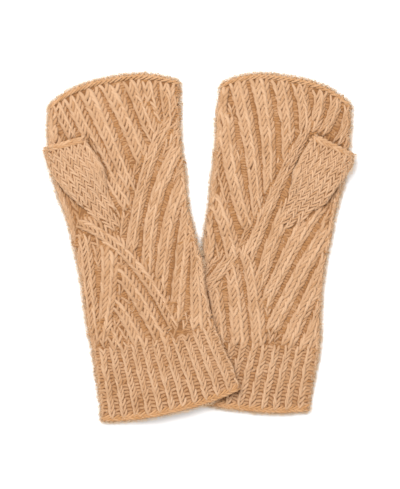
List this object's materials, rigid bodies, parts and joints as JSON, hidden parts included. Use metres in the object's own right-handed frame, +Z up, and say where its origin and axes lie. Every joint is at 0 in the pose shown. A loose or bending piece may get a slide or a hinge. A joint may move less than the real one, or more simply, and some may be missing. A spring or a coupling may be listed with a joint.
{
  "type": "pair of fingerless mittens",
  "caption": "long knitted wool fingerless mittens with travelling ribs, ribbed cuffs and short open thumbs, laid flat with one lower corner over the other",
  "frame": {"origin": "centre of the pair's outline on the surface it lies on", "axes": "+Y runs from the cuffs to the finger openings, +X is the picture's right, +Z is up from the surface"},
  "size_m": [0.2248, 0.252, 0.0137],
  "materials": {
    "camel_wool": "hand-knit camel wool, matt and slightly hairy"
  },
  "bodies": {
    "root": {"left_cuff": "camel_wool", "left_hand": "camel_wool", "left_thumb": "camel_wool", "left_top_edge": "camel_wool", "left_thumb_edge": "camel_wool", "right_cuff": "camel_wool", "right_hand": "camel_wool", "right_thumb": "camel_wool", "right_top_edge": "camel_wool", "right_thumb_edge": "camel_wool"}
  },
  "joints": []
}
